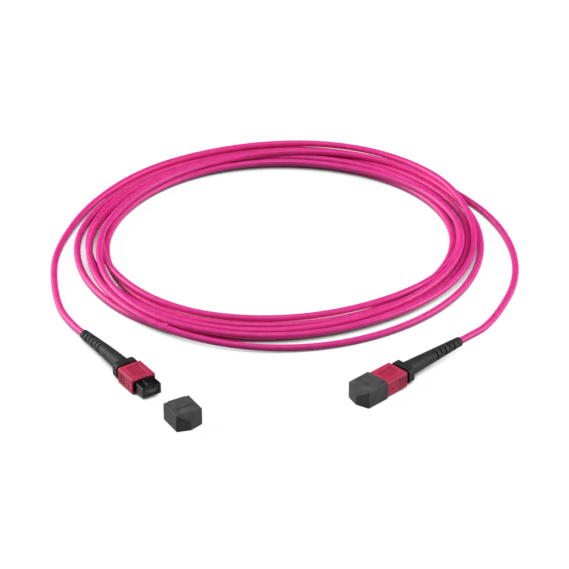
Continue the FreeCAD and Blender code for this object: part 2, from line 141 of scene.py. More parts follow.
jacket = bpy.data.materials.new("cable_jacket")
jacket.use_nodes = True
jacket_nodes = jacket.node_tree.nodes
jacket_links = jacket.node_tree.links
jacket_skin = jacket_nodes["Principled BSDF"]
jacket_skin.inputs["Specular IOR Level"].default_value = 0.4
jacket_place = jacket_nodes.new("ShaderNodeTexCoord")
jacket_mottle = jacket_nodes.new("ShaderNodeTexNoise")
jacket_mottle.inputs["Scale"].default_value = 260
jacket_mottle.inputs["Detail"].default_value = 4
jacket_links.new(jacket_place.outputs["Object"], jacket_mottle.inputs["Vector"])
jacket_tint = jacket_nodes.new("ShaderNodeValToRGB")
jacket_tint.color_ramp.elements[0].position = 0.3
jacket_tint.color_ramp.elements[0].color = (0.745, 0.026, 0.262, 1)
jacket_tint.color_ramp.elements[1].position = 0.72
jacket_tint.color_ramp.elements[1].color = (0.85, 0.042, 0.328, 1)
jacket_links.new(jacket_mottle.outputs["Fac"], jacket_tint.inputs["Fac"])
jacket_links.new(jacket_tint.outputs["Color"], jacket_skin.inputs["Base Color"])
jacket_sheen = jacket_nodes.new("ShaderNodeMapRange")
jacket_sheen.inputs["To Min"].default_value = 0.36
jacket_sheen.inputs["To Max"].default_value = 0.52
jacket_links.new(jacket_mottle.outputs["Fac"], jacket_sheen.inputs["Value"])
jacket_links.new(jacket_sheen.outputs["Result"], jacket_skin.inputs["Roughness"])
# The die leaves faint lines along the jacket: a noise on the cable's own UV map, where U runs along the length and
# V once round. V goes in as the sine and cosine of its angle, so that the lines close on themselves.
LINE_LENGTH = 0.025
LINES_ROUND = 30
jacket_uv = jacket_nodes.new("ShaderNodeSeparateXYZ")
jacket_links.new(jacket_place.outputs["UV"], jacket_uv.inputs["Vector"])
jacket_along = jacket_nodes.new("ShaderNodeMath")
jacket_along.operation = "MULTIPLY"
jacket_along.inputs[1].default_value = CABLE_LENGTH / LINE_LENGTH
jacket_links.new(jacket_uv.outputs["X"], jacket_along.inputs[0])
jacket_angle = jacket_nodes.new("ShaderNodeMath")
jacket_angle.operation = "MULTIPLY"
jacket_angle.inputs[1].default_value = 2 * math.pi
jacket_links.new(jacket_uv.outputs["Y"], jacket_angle.inputs[0])
jacket_round = jacket_nodes.new("ShaderNodeCombineXYZ")
jacket_links.new(jacket_along.outputs["Value"], jacket_round.inputs["X"])
for turn_name, socket in (("COSINE", "Y"), ("SINE", "Z")):
    jacket_turn = jacket_nodes.new("ShaderNodeMath")
    jacket_turn.operation = turn_name
    jacket_links.new(jacket_angle.outputs["Value"], jacket_turn.inputs[0])
    jacket_reach = jacket_nodes.new("ShaderNodeMath")
    jacket_reach.operation = "MULTIPLY"
    jacket_reach.inputs[1].default_value = LINES_ROUND / (2 * math.pi)
    jacket_links.new(jacket_turn.outputs["Value"], jacket_reach.inputs[0])
    jacket_links.new(jacket_reach.outputs["Value"], jacket_round.inputs[socket])
jacket_lines = jacket_nodes.new("ShaderNodeTexNoise")
jacket_lines.inputs["Scale"].default_value = 1
jacket_lines.inputs["Detail"].default_value = 3
jacket_links.new(jacket_round.outputs["Vector"], jacket_lines.inputs["Vector"])
jacket_bump = jacket_nodes.new("ShaderNodeBump")
jacket_bump.inputs["Strength"].default_value = 0.35
jacket_bump.inputs["Distance"].default_value = 0.00006
jacket_links.new(jacket_lines.outputs["Fac"], jacket_bump.inputs["Height"])
jacket_links.new(jacket_bump.outputs["Normal"], jacket_skin.inputs["Normal"])
cable_curve.materials.append(jacket)

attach(cable, "cable_assembly")
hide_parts("cable_coil", "cable_tail_a", "cable_tail_b")

# Boots: one elastomer moulding at each plug's back, slotted in its thin half so that it bends with the cable.
# Its skin is matt, with the fine grain and the parting line of its mould.
def moulded_grain():
    """Shader group for every moulded piece. Two tones are mixed by a broad noise; a rounded normal, taken over the edge
    radius, is compared with the flat one to find the edges, which are made lighter and smoother, partly as rubbing wear
    and partly as a painted highlight that stands in for the glint along the edges; the height is a fine noise plus a
    thin ridge at the level where the mould splits."""
    group = bpy.data.node_groups.new("moulded_grain", "ShaderNodeTree")
    for title, kind in (("Vector", "NodeSocketVector"), ("Dark", "NodeSocketColor"), ("Light", "NodeSocketColor"),
                        ("Wear And Highlight", "NodeSocketColor"), ("Cloud Scale", "NodeSocketFloat"),
                        ("Grain Scale", "NodeSocketFloat"), ("Grain Depth", "NodeSocketFloat"),
                        ("Edge Radius", "NodeSocketFloat"), ("Split Level", "NodeSocketFloat"),
                        ("Smooth", "NodeSocketFloat"), ("Rough", "NodeSocketFloat")):
        group.interface.new_socket(title, in_out="INPUT", socket_type=kind)
    for title, kind in (("Colour", "NodeSocketColor"), ("Roughness", "NodeSocketFloat"),
                        ("Normal", "NodeSocketVector")):
        group.interface.new_socket(title, in_out="OUTPUT", socket_type=kind)
    made, join = group.nodes, group.links
    given = made.new("NodeGroupInput")
    result = made.new("NodeGroupOutput")

    cloud = made.new("ShaderNodeTexNoise")
    cloud.inputs["Detail"].default_value = 3
    join.new(given.outputs["Vector"], cloud.inputs["Vector"])
    join.new(given.outputs["Cloud Scale"], cloud.inputs["Scale"])
    cloud_mask = made.new("ShaderNodeMapRange")
    cloud_mask.inputs["From Min"].default_value = 0.32
    cloud_mask.inputs["From Max"].default_value = 0.68
    join.new(cloud.outputs["Fac"], cloud_mask.inputs["Value"])
    tone = made.new("ShaderNodeMix")
    tone.data_type = "RGBA"
    join.new(cloud_mask.outputs["Result"], tone.inputs[0])
    join.new(given.outputs["Dark"], tone.inputs[6])
    join.new(given.outputs["Light"], tone.inputs[7])

    round_edge = made.new("ShaderNodeBevel")
    round_edge.samples = 4
    join.new(given.outputs["Edge Radius"], round_edge.inputs["Radius"])
    flat_face = made.new("ShaderNodeNewGeometry")
    turn = made.new("ShaderNodeVectorMath")
    turn.operation = "DOT_PRODUCT"
    join.new(round_edge.outputs["Normal"], turn.inputs[0])
    join.new(flat_face.outputs["Normal"], turn.inputs[1])
    edge = made.new("ShaderNodeMapRange")
    edge.inputs["From Min"].default_value = 0.99
    edge.inputs["From Max"].default_value = 0.80
    join.new(turn.outputs["Value"], edge.inputs["Value"])
    edge_share = made.new("ShaderNodeMath")
    edge_share.operation = "MULTIPLY"
    join.new(edge.outputs["Result"], edge_share.inputs[0])
    join.new(cloud.outputs["Fac"], edge_share.inputs[1])
    # The edges are lightened towards the edge colour: partly rubbing wear, partly a painted highlight standing in for
    # edge glints.
    wear_and_highlight_tone = made.new("ShaderNodeMix")
    wear_and_highlight_tone.data_type = "RGBA"
    join.new(edge_share.outputs["Value"], wear_and_highlight_tone.inputs[0])
    join.new(tone.outputs[2], wear_and_highlight_tone.inputs[6])
    join.new(given.outputs["Wear And Highlight"], wear_and_highlight_tone.inputs[7])
    join.new(wear_and_highlight_tone.outputs[2], result.inputs["Colour"])

    grain = made.new("ShaderNodeTexNoise")
    grain.inputs["Detail"].default_value = 2
    join.new(given.outputs["Vector"], grain.inputs["Vector"])
    join.new(given.outputs["Grain Scale"], grain.inputs["Scale"])
    sheen = made.new("ShaderNodeMapRange")
    sheen.inputs["From Min"].default_value = 0.3
    sheen.inputs["From Max"].default_value = 0.7
    join.new(grain.outputs["Fac"], sheen.inputs["Value"])
    join.new(given.outputs["Smooth"], sheen.inputs["To Min"])
    join.new(given.outputs["Rough"], sheen.inputs["To Max"])
    polish = made.new("ShaderNodeMath")
    polish.operation = "MULTIPLY_ADD"
    polish.inputs[1].default_value = -0.15
    join.new(edge_share.outputs["Value"], polish.inputs[0])
    join.new(sheen.outputs["Result"], polish.inputs[2])
    join.new(polish.outputs["Value"], result.inputs["Roughness"])

    level = made.new("ShaderNodeSeparateXYZ")
    join.new(given.outputs["Vector"], level.inputs["Vector"])
    off_split = made.new("ShaderNodeMath")
    off_split.operation = "SUBTRACT"
    join.new(level.outputs["Z"], off_split.inputs[0])
    join.new(given.outputs["Split Level"], off_split.inputs[1])
    away = made.new("ShaderNodeMath")
    away.operation = "ABSOLUTE"
    join.new(off_split.outputs["Value"], away.inputs[0])
    ridge = made.new("ShaderNodeMapRange")
    ridge.interpolation_type = "SMOOTHSTEP"
    ridge.inputs["From Max"].default_value = 0.00008
    ridge.inputs["To Min"].default_value = 1.0
    ridge.inputs["To Max"].default_value = 0.0
    join.new(away.outputs["Value"], ridge.inputs["Value"])
    height = made.new("ShaderNodeMath")
    height.operation = "MULTIPLY_ADD"
    join.new(grain.outputs["Fac"], height.inputs[0])
    join.new(given.outputs["Grain Depth"], height.inputs[1])
    join.new(ridge.outputs["Result"], height.inputs[2])
    relief = made.new("ShaderNodeBump")
    relief.inputs["Distance"].default_value = 0.00003
    join.new(height.outputs["Value"], relief.inputs["Height"])
    join.new(round_edge.outputs["Normal"], relief.inputs["Normal"])
    join.new(relief.outputs["Normal"], result.inputs["Normal"])
    return group


MOULDED = moulded_grain()
CLOUD_SCALE = 210
EDGE_RADIUS = 0.00022
# Each plug: its place, its heading in degrees and the height of its middle line, where its moulds split.
PLUGS = (("a", (-0.0648, 0.0045), -56.0, 0.0040), ("b", (0.0583, 0.0012), 223.5, 0.0044))


def moulded_finish(name, dark, light, wear_and_highlight, grain_scale, grain_depth, smooth, rough, gloss, split):
    """Material of one moulded piece: the shared grain gives colour, roughness and normal, and gloss is the level of
    mirror reflection. The edge colour it is given is partly wear and partly a painted highlight."""
    finish = bpy.data.materials.new(name)
    finish.use_nodes = True
    skin = finish.node_tree.nodes["Principled BSDF"]
    skin.inputs["Specular IOR Level"].default_value = gloss
    place = finish.node_tree.nodes.new("ShaderNodeTexCoord")
    grain = finish.node_tree.nodes.new("ShaderNodeGroup")
    grain.node_tree = MOULDED
    for title, value in (("Dark", (*dark, 1)), ("Light", (*light, 1)), ("Wear And Highlight", (*wear_and_highlight, 1)),
                         ("Cloud Scale", CLOUD_SCALE), ("Grain Scale", grain_scale), ("Grain Depth", grain_depth),
                         ("Edge Radius", EDGE_RADIUS), ("Split Level", split), ("Smooth", smooth), ("Rough", rough)):
        grain.inputs[title].default_value = value
    links = finish.node_tree.links
    links.new(place.outputs["Object"], grain.inputs["Vector"])
    links.new(grain.outputs["Colour"], skin.inputs["Base Color"])
    links.new(grain.outputs["Roughness"], skin.inputs["Roughness"])
    links.new(grain.outputs["Normal"], skin.inputs["Normal"])
    return finish


# The open plug lies on its sleeve, and the weight of its cable draws the boot's tail down towards the floor.
SHOULDER_REAR = -0.0059
TAIL_LENGTH = 0.035
TAIL_DROP = 0.00131
WELD = 1e-7
SHARP_EDGE = 35


def sagging_boot(name, node, at, yaw, level):
    """The boot's own solid, bent: behind the shoulder each cross-section goes down by TAIL_DROP times the square of
    its share of the tail's length, and leans with the slope of that curve."""
    mesh = node.data.copy()
    merged = bmesh.new()
    merged.from_mesh(mesh)
    bmesh.ops.remove_doubles(merged, verts=merged.verts, dist=WELD)
    merged.to_mesh(mesh)
    merged.free()
    if "custom_normal" in mesh.attributes:
        mesh.attributes.remove(mesh.attributes["custom_normal"])
    spots = np.empty(3 * len(mesh.vertices))
    mesh.vertices.foreach_get("co", spots)
    east, north, up = (spots.reshape(-1, 3) - (*at, level)).T
    c, s = math.cos(math.radians(yaw)), math.sin(math.radians(yaw))
    along, across = east * c + north * s, north * c - east * s
    share = np.maximum(SHOULDER_REAR - along, 0) / TAIL_LENGTH
    along = along - up * 2 * TAIL_DROP * share / TAIL_LENGTH
    up = up - TAIL_DROP * share ** 2
    bent = np.stack([along * c - across * s, along * s + across * c, up], 1) + (*at, level)
    mesh.vertices.foreach_set("co", bent.ravel())
    mesh.polygons.foreach_set("use_smooth", np.ones(len(mesh.polygons), bool))
    mesh.set_sharp_from_angle(angle=math.radians(SHARP_EDGE))
    mesh.update()
    boot = bpy.data.objects.new(name, mesh)
    bpy.context.scene.collection.objects.link(boot)
    return boot


sagged_boot = sagging_boot("sagged_boot_a", nodes["boot_a"], *PLUGS[0][1:])
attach(sagged_boot, "cable_assembly")
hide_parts("boot_a")
# The rubber's edges are painted paler: partly wear, partly a painted highlight.
for boot, (_, _, _, split) in zip((sagged_boot, nodes["boot_b"]), PLUGS):
    boot_rubber = moulded_finish(boot.name + "_rubber", dark=(0.022, 0.022, 0.0235), light=(0.036, 0.036, 0.038),
                                 wear_and_highlight=(0.09, 0.09, 0.095), grain_scale=5200, grain_depth=0.4, smooth=0.44,
                                 rough=0.64, gloss=0.18, split=split)
    boot.material_slots[0].material = boot_rubber

# Crimp rings: short plated tubes pressed on the cable's yarn, inside each boot's collar. Drawn and tumbled, so
# their brightness is uneven and faintly scratched.
def wire_and_plate(name, dark, light, scale, stretch, smooth, rough):
    """Bare metal: a noise stretched along one axis is both the tone's streaks and the change of roughness."""
    finish = bpy.data.materials.new(name)
    finish.use_nodes = True
    made, join = finish.node_tree.nodes, finish.node_tree.links
    skin = made["Principled BSDF"]
    skin.inputs["Metallic"].default_value = 1.0
    place = made.new("ShaderNodeTexCoord")
    draw = made.new("ShaderNodeMapping")
    draw.inputs["Scale"].default_value = stretch
    join.new(place.outputs["Object"], draw.inputs["Vector"])
    streak = made.new("ShaderNodeTexNoise")
    streak.inputs["Scale"].default_value = scale
    streak.inputs["Detail"].default_value = 5
    join.new(draw.outputs["Vector"], streak.inputs["Vector"])
    tone = made.new("ShaderNodeValToRGB")
    tone.color_ramp.elements[0].position = 0.3
    tone.color_ramp.elements[0].color = (*dark, 1)
    tone.color_ramp.elements[1].position = 0.7
    tone.color_ramp.elements[1].color = (*light, 1)
    join.new(streak.outputs["Fac"], tone.inputs["Fac"])
    join.new(tone.outputs["Color"], skin.inputs["Base Color"])
    sheen = made.new("ShaderNodeMapRange")
    sheen.inputs["To Min"].default_value = smooth
    sheen.inputs["To Max"].default_value = rough
    join.new(streak.outputs["Fac"], sheen.inputs["Value"])
    join.new(sheen.outputs["Result"], skin.inputs["Roughness"])
    scratch = made.new("ShaderNodeBump")
    scratch.inputs["Strength"].default_value = 0.2
    scratch.inputs["Distance"].default_value = 0.00002
    join.new(streak.outputs["Fac"], scratch.inputs["Height"])
    join.new(scratch.outputs["Normal"], skin.inputs["Normal"])
    return finish


crimp_metal = wire_and_plate("crimp_metal", (0.42, 0.41, 0.39), (0.64, 0.63, 0.60), 1800, (1, 1, 0.12), 0.22, 0.42)
for ring_name in ("crimp_ring_a", "crimp_ring_b"):
    nodes[ring_name].material_slots[0].material = crimp_metal

# Spring pushes and inner housings: glass-filled black plastic, moulded to close fits. The housing's nose is the
# smoother of the two, from its polished mould. The edges of both are painted paler, partly as wear and partly as a
# painted highlight; on the housing's rims, where they slide into a port, the painted highlight stands in for their
# shine.
for end, _, _, split in PLUGS:
    push_plastic = moulded_finish("push_plastic_" + end, dark=(0.014, 0.014, 0.015), light=(0.024, 0.024, 0.025),
                                  wear_and_highlight=(0.06, 0.06, 0.06), grain_scale=4200, grain_depth=0.6, smooth=0.4,
                                  rough=0.58, gloss=0.4, split=split)
    nodes["spring_push_" + end].material_slots[0].material = push_plastic
    housing_plastic = moulded_finish("housing_plastic_" + end, dark=(0.004, 0.004, 0.0043),
                                     light=(0.008, 0.008, 0.0085), wear_and_highlight=(0.26, 0.26, 0.26), grain_scale=4600,
                                     grain_depth=0.2, smooth=0.22, rough=0.36, gloss=0.22, split=split)
    nodes["inner_housing_" + end].material_slots[0].material = housing_plastic

# Coupling sleeves: crimson plastic shells that slide on the housings, with a sunk panel on the top, grip ribs on the
# sides and small cross holes. Satin from a finely etched mould; paler along the edges, partly from the rubbing of
# fingers and partly as a painted highlight; and darker on the panel's floor, as painted shade in the recess.
SLEEVE_TOP = 0.0040
PANEL_HALF = 0.0033
PANEL_FLOOR = -0.0003
PANEL_BAND = 0.00005
# Colour factor of the painted shade on the sunk panel's floor.
PANEL_PAINTED_SHADE = (0.84, 0.74, 0.77, 1)


def paint_panel_shade(finish, at, yaw, top):
    """Paints shade on the sunk panel's floor: multiplies the finish's colour where the surface lies at the depth of the
    sunk panel's floor and within half the panel's width of the sleeve's middle line, both in the plug's own directions."""
    made, join = finish.node_tree.nodes, finish.node_tree.links
    skin = made["Principled BSDF"]
    tone = skin.inputs["Base Color"].links[0].from_socket
    place = made.new("ShaderNodeTexCoord")
    plug = made.new("ShaderNodeMapping")
    plug.vector_type = "TEXTURE"
    plug.inputs["Location"].default_value = (*at, top)
    plug.inputs["Rotation"].default_value = (0, 0, math.radians(yaw))
    join.new(place.outputs["Object"], plug.inputs["Vector"])
    split = made.new("ShaderNodeSeparateXYZ")
    join.new(plug.outputs["Vector"], split.inputs["Vector"])
    deep = made.new("ShaderNodeMath")
    deep.operation = "COMPARE"
    deep.inputs[1].default_value = PANEL_FLOOR
    deep.inputs[2].default_value = PANEL_BAND
    join.new(split.outputs["Z"], deep.inputs[0])
    aside = made.new("ShaderNodeMath")
    aside.operation = "COMPARE"
    aside.inputs[1].default_value = 0.0
    aside.inputs[2].default_value = PANEL_HALF
    join.new(split.outputs["Y"], aside.inputs[0])
    inside = made.new("ShaderNodeMath")
    inside.operation = "MULTIPLY"
    join.new(deep.outputs["Value"], inside.inputs[0])
    join.new(aside.outputs["Value"], inside.inputs[1])
    panel_painted_shade = made.new("ShaderNodeMix")
    panel_painted_shade.data_type = "RGBA"
    panel_painted_shade.blend_type = "MULTIPLY"
    panel_painted_shade.inputs[7].default_value = PANEL_PAINTED_SHADE
    join.new(inside.outputs["Value"], panel_painted_shade.inputs[0])
    join.new(tone, panel_painted_shade.inputs[6])
    join.new(panel_painted_shade.outputs[2], skin.inputs["Base Color"])


for end, at, yaw, split in PLUGS:
    sleeve_plastic = moulded_finish("sleeve_plastic_" + end, dark=(0.46, 0.025, 0.081), light=(0.565, 0.038, 0.111),
                                    wear_and_highlight=(0.78, 0.17, 0.30), grain_scale=3600, grain_depth=0.22, smooth=0.42,
                                    rough=0.56, gloss=0.25, split=split)
    paint_panel_shade(sleeve_plastic, at, yaw, split + SLEEVE_TOP)
    nodes["coupling_sleeve_" + end].material_slots[0].material = sleeve_plastic

# Springs: coiled stainless wire with close end turns, two in grooves at the housing's sides and one oval coil behind
# the ferrule. Bright from drawing, with fine scratches.
spring_steel = wire_and_plate("spring_steel", (0.46, 0.46, 0.46), (0.68, 0.68, 0.67), 3000, (1, 1, 0.3), 0.16, 0.34)
CLOSE_ENDS = 0.7
POINTS_A_TURN = 24
POINTS_ROUND_WIRE = 8
# Names of the piece, the solid and the joint; rear end, length, travel, turns, half sizes, wire and sideways places.
SPRINGS = (("side_springs_", "sleeve_springs_", "sleeve_slide_", 0.0008, 0.0055, 0.0015, 9, (0.00029, 0.00029), 0.0002,
            (0.00459, -0.00459)),
           ("oval_spring_", "ferrule_spring_", "ferrule_float_", 0.0006, 0.00765, 0.0006, 5, (0.00325, 0.00135), 0.0005,
            (0.0,)))


def wire_coils(name, at, yaw, level, rear, length, turns, half, wire, sides):
    """Round wire, carried along a line that turns round an oval of the two half sizes while it goes forward. The
    pace forward is 1 less CLOSE_ENDS times the cosine of the share of the way, so the end turns lie close. The
    wire's circle is set up from the oval's outward direction and its cross product with the line's direction.
    One coil is laid at each sideways place, and all are turned to the plug's heading."""
    ring = POINTS_ROUND_WIRE
    turn = np.linspace(0, 2 * np.pi * turns, turns * POINTS_A_TURN + 1)
    share = turn / turn[-1]
    forward = (length - wire) * (share - CLOSE_ENDS * np.sin(2 * np.pi * share) / (2 * np.pi))
    line = np.stack([rear + wire / 2 + forward, half[0] * np.cos(turn), half[1] * np.sin(turn)], -1)
    onward = np.gradient(line, axis=0)
    outward = np.stack([np.zeros_like(turn), half[1] * np.cos(turn), half[0] * np.sin(turn)], -1)
    outward /= np.linalg.norm(outward, axis=1, keepdims=True)
    beside = np.cross(onward, outward)
    beside /= np.linalg.norm(beside, axis=1, keepdims=True)
    angle = np.linspace(0, 2 * np.pi, ring, endpoint=False)[:, None]
    tube = line[:, None] + wire / 2 * (np.cos(angle) * outward[:, None] + np.sin(angle) * beside[:, None])
    places = np.zeros((len(sides), 1, 1, 3))
    places[:, 0, 0, 1] = sides
    along, across, up = (places + tube).reshape(-1, 3).T
    c, s = math.cos(math.radians(yaw)), math.sin(math.radians(yaw))
    points = np.stack([at[0] + along * c - across * s, at[1] + along * s + across * c, level + up], 1)
    step = np.arange(ring)
    after = (step + 1) % ring
    row = ring * np.arange(len(line) - 1)[:, None]
    walls = np.stack([row + step, row + after, row + ring + after, row + ring + step], -1).reshape(-1, 4)
    ends = np.stack([step[::-1], step + ring * (len(line) - 1)])
    start = (ring * len(line) * np.arange(len(sides)))[:, None, None]
    faces = (start + walls).reshape(-1, 4).tolist() + (start + ends).reshape(-1, ring).tolist()
    mesh = bpy.data.meshes.new(name)
    mesh.from_pydata(points.tolist(), [], faces)
    mesh.polygons.foreach_set("use_smooth", np.array([len(face) == 4 for face in faces]))
    mesh.materials.append(spring_steel)
    coils = bpy.data.objects.new(name, mesh)
    bpy.context.scene.collection.objects.link(coils)
    return coils


for end, at, yaw, level in PLUGS:
    for piece_name, node, joint, rear, length, travel, turns, half, wire, sides in SPRINGS:
        spring = wire_coils(piece_name + end, at, yaw, level, rear, length, turns, half, wire, sides)
        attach(spring, "cable_assembly")
        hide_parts(node + end)
        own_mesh(spring)

# Ferrules: dense mineral-filled resin, moulded to the micrometre, with two guide holes. The ends of twelve glass
# fibres stand in one row on the polished front, a quarter of a millimetre apart.
FIBRES = 12
FIBRE_PITCH = 0.00025
FIBRE_RADIUS = 0.0000625
FIBRE_CROWN = 0.000012
FIBRE_PROUD = 0.000003
FIBRE_SUNK = -0.00002
FIBRE_SIDES = 16
FERRULE_FRONT = 0.0198
# The resin's edges are painted paler: partly wear, partly a painted highlight.
ferrule_resin = moulded_finish("ferrule_resin", dark=(0.020, 0.020, 0.023), light=(0.040, 0.040, 0.046),
                               wear_and_highlight=(0.075, 0.075, 0.08), grain_scale=9000, grain_depth=0.3, smooth=0.2,
                               rough=0.4, gloss=0.5, split=0.0)
fibre_glass = bpy.data.materials.new("fibre_glass")
fibre_glass.use_nodes = True
glass_nodes, glass_links = fibre_glass.node_tree.nodes, fibre_glass.node_tree.links
glass_skin = glass_nodes["Principled BSDF"]
glass_skin.inputs["Coat Weight"].default_value = 0.6
glass_place = glass_nodes.new("ShaderNodeTexCoord")
glass_cloud = glass_nodes.new("ShaderNodeTexNoise")
glass_cloud.inputs["Scale"].default_value = 30000
glass_links.new(glass_place.outputs["Object"], glass_cloud.inputs["Vector"])
glass_tone = glass_nodes.new("ShaderNodeValToRGB")
glass_tone.color_ramp.elements[0].color = (0.50, 0.56, 0.58, 1)
glass_tone.color_ramp.elements[1].color = (0.80, 0.84, 0.85, 1)
glass_links.new(glass_cloud.outputs["Fac"], glass_tone.inputs["Fac"])
glass_links.new(glass_tone.outputs["Color"], glass_skin.inputs["Base Color"])
glass_sheen = glass_nodes.new("ShaderNodeMapRange")
glass_sheen.inputs["To Min"].default_value = 0.05
glass_sheen.inputs["To Max"].default_value = 0.16
glass_links.new(glass_cloud.outputs["Fac"], glass_sheen.inputs["Value"])
glass_links.new(glass_sheen.outputs["Result"], glass_skin.inputs["Roughness"])


def fibre_row(name, at, yaw, level):
    """One low dome for each fibre, in a row: a centre, then rings whose height falls with the square of the radius,
    and a last ring sunk in the resin and closed by one face. The row is laid along the plug's width and turned to
    its heading."""
    sides = FIBRE_SIDES
    angle = np.linspace(0, 2 * np.pi, sides, endpoint=False)
    share = np.array([1 / 3, 2 / 3, 1.0, 1.0])
    rise = np.where(np.arange(4) < 3, FIBRE_CROWN * (1 - share ** 2) + FIBRE_PROUD, FIBRE_SUNK)
    across = np.concatenate([[0.0], np.outer(share * FIBRE_RADIUS, np.cos(angle)).ravel()])
    upward = np.concatenate([[0.0], np.outer(share * FIBRE_RADIUS, np.sin(angle)).ravel()])
    outward = np.concatenate([[FIBRE_CROWN + FIBRE_PROUD], np.repeat(rise, sides)])
    offset = (np.arange(FIBRES) - (FIBRES - 1) / 2) * FIBRE_PITCH
    along = FERRULE_FRONT + np.tile(outward, (FIBRES, 1))
    side = offset[:, None] + across
    up = level + np.tile(upward, (FIBRES, 1))
    c, s = math.cos(math.radians(yaw)), math.sin(math.radians(yaw))
    points = np.stack([at[0] + along * c - side * s, at[1] + along * s + side * c, up], -1).reshape(-1, 3)
    step = np.arange(sides)
    after = (step + 1) % sides
    fan = np.stack([np.zeros(sides, int), 1 + step, 1 + after], 1)
    inner = 1 + sides * np.arange(3)[:, None]
    bands = np.stack([inner + step, inner + sides + step, inner + sides + after, inner + after], -1).reshape(-1, 4)
    foot = 1 + 3 * sides + step[::-1]
    start = (np.arange(FIBRES) * (1 + 4 * sides))[:, None]
    faces = ((start[..., None] + fan).reshape(-1, 3).tolist() + (start[..., None] + bands).reshape(-1, 4).tolist()
             + (start + foot).tolist())
    mesh = bpy.data.meshes.new(name)
    mesh.from_pydata(points.tolist(), [], faces)
    mesh.polygons.foreach_set("use_smooth", np.ones(len(mesh.polygons), bool))
    mesh.materials.append(fibre_glass)
    row = bpy.data.objects.new(name, mesh)
    bpy.context.scene.collection.objects.link(row)
    return row


for end, at, yaw, level in PLUGS:
    nodes["ferrule_" + end].material_slots[0].material = ferrule_resin
    ends_row = fibre_row("fibre_ends_" + end, at, yaw, level)
    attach(ends_row, "ferrule_group_" + end)

# Pin keepers, ferrule boots and fibre ribbons: the parts of the ferrule's train. A stamped metal keeper takes the
# spring, a soft black sleeve bends with the fibres, and the ribbon is twelve coated fibres side by side.
# At scale 1 the wave texture repeats every WAVE_UNIT metres; one wave goes to each fibre.
WAVE_UNIT = math.pi / 10
keeper_metal = wire_and_plate("keeper_metal", (0.40, 0.40, 0.41), (0.62, 0.62, 0.63), 1500, (1, 0.2, 1), 0.25, 0.45)
for end, _, yaw, split in PLUGS:
    nodes["pin_keeper_" + end].material_slots[0].material = keeper_metal
    # The ferrule boot's edges are painted paler: partly wear, partly a painted highlight.
    nodes["ferrule_boot_" + end].material_slots[0].material = moulded_finish(
        "ferrule_boot_rubber_" + end, dark=(0.014, 0.014, 0.014), light=(0.026, 0.026, 0.026),
        wear_and_highlight=(0.05, 0.05, 0.05), grain_scale=6000, grain_depth=0.7, smooth=0.5, rough=0.68, gloss=0.3, split=split)
    ribbon_coating = bpy.data.materials.new("ribbon_coating_" + end)
    ribbon_coating.use_nodes = True
    ribbon_nodes, ribbon_links = ribbon_coating.node_tree.nodes, ribbon_coating.node_tree.links
    ribbon_skin = ribbon_nodes["Principled BSDF"]
    ribbon_place = ribbon_nodes.new("ShaderNodeTexCoord")
    ribbon_turn = ribbon_nodes.new("ShaderNodeMapping")
    ribbon_turn.inputs["Rotation"].default_value = (0, 0, math.radians(-yaw))
    ribbon_links.new(ribbon_place.outputs["Object"], ribbon_turn.inputs["Vector"])
    ribbon_rows = ribbon_nodes.new("ShaderNodeTexWave")
    ribbon_rows.bands_direction = "Y"
    ribbon_rows.inputs["Scale"].default_value = WAVE_UNIT / FIBRE_PITCH
    ribbon_links.new(ribbon_turn.outputs["Vector"], ribbon_rows.inputs["Vector"])
    ribbon_tone = ribbon_nodes.new("ShaderNodeValToRGB")
    ribbon_tone.color_ramp.elements[0].color = (0.44, 0.44, 0.36, 1)
    ribbon_tone.color_ramp.elements[1].color = (0.74, 0.74, 0.66, 1)
    ribbon_links.new(ribbon_rows.outputs["Fac"], ribbon_tone.inputs["Fac"])
    ribbon_links.new(ribbon_tone.outputs["Color"], ribbon_skin.inputs["Base Color"])
    ribbon_sheen = ribbon_nodes.new("ShaderNodeMapRange")
    ribbon_sheen.inputs["To Min"].default_value = 0.42
    ribbon_sheen.inputs["To Max"].default_value = 0.26
    ribbon_links.new(ribbon_rows.outputs["Fac"], ribbon_sheen.inputs["Value"])
    ribbon_links.new(ribbon_sheen.outputs["Result"], ribbon_skin.inputs["Roughness"])
    ribbon_relief = ribbon_nodes.new("ShaderNodeBump")
    ribbon_relief.inputs["Strength"].default_value = 0.6
    ribbon_relief.inputs["Distance"].default_value = 0.00006
    ribbon_links.new(ribbon_rows.outputs["Fac"], ribbon_relief.inputs["Height"])
    ribbon_links.new(ribbon_relief.outputs["Normal"], ribbon_skin.inputs["Normal"])
    nodes["fibre_ribbon_" + end].material_slots[0].material = ribbon_coating

# Dust caps: soft grey plastic covers with a prow at the front and a raised grip panel on the top, one pushed on its
# plug and one laid loose. Evenly matt from a spark-eroded mould, with paler corners, partly rubbing wear and partly a
# painted highlight.
CAP_SPLIT = 0.0044
for end in ("a", "b"):
    cap_plastic = moulded_finish("cap_plastic_" + end, dark=(0.060, 0.060, 0.060), light=(0.093, 0.093, 0.093),
                                 wear_and_highlight=(0.18, 0.18, 0.18), grain_scale=2900, grain_depth=0.5, smooth=0.52,
                                 rough=0.7, gloss=0.12, split=CAP_SPLIT)
    nodes["dust_cap_" + end].material_slots[0].material = cap_plastic

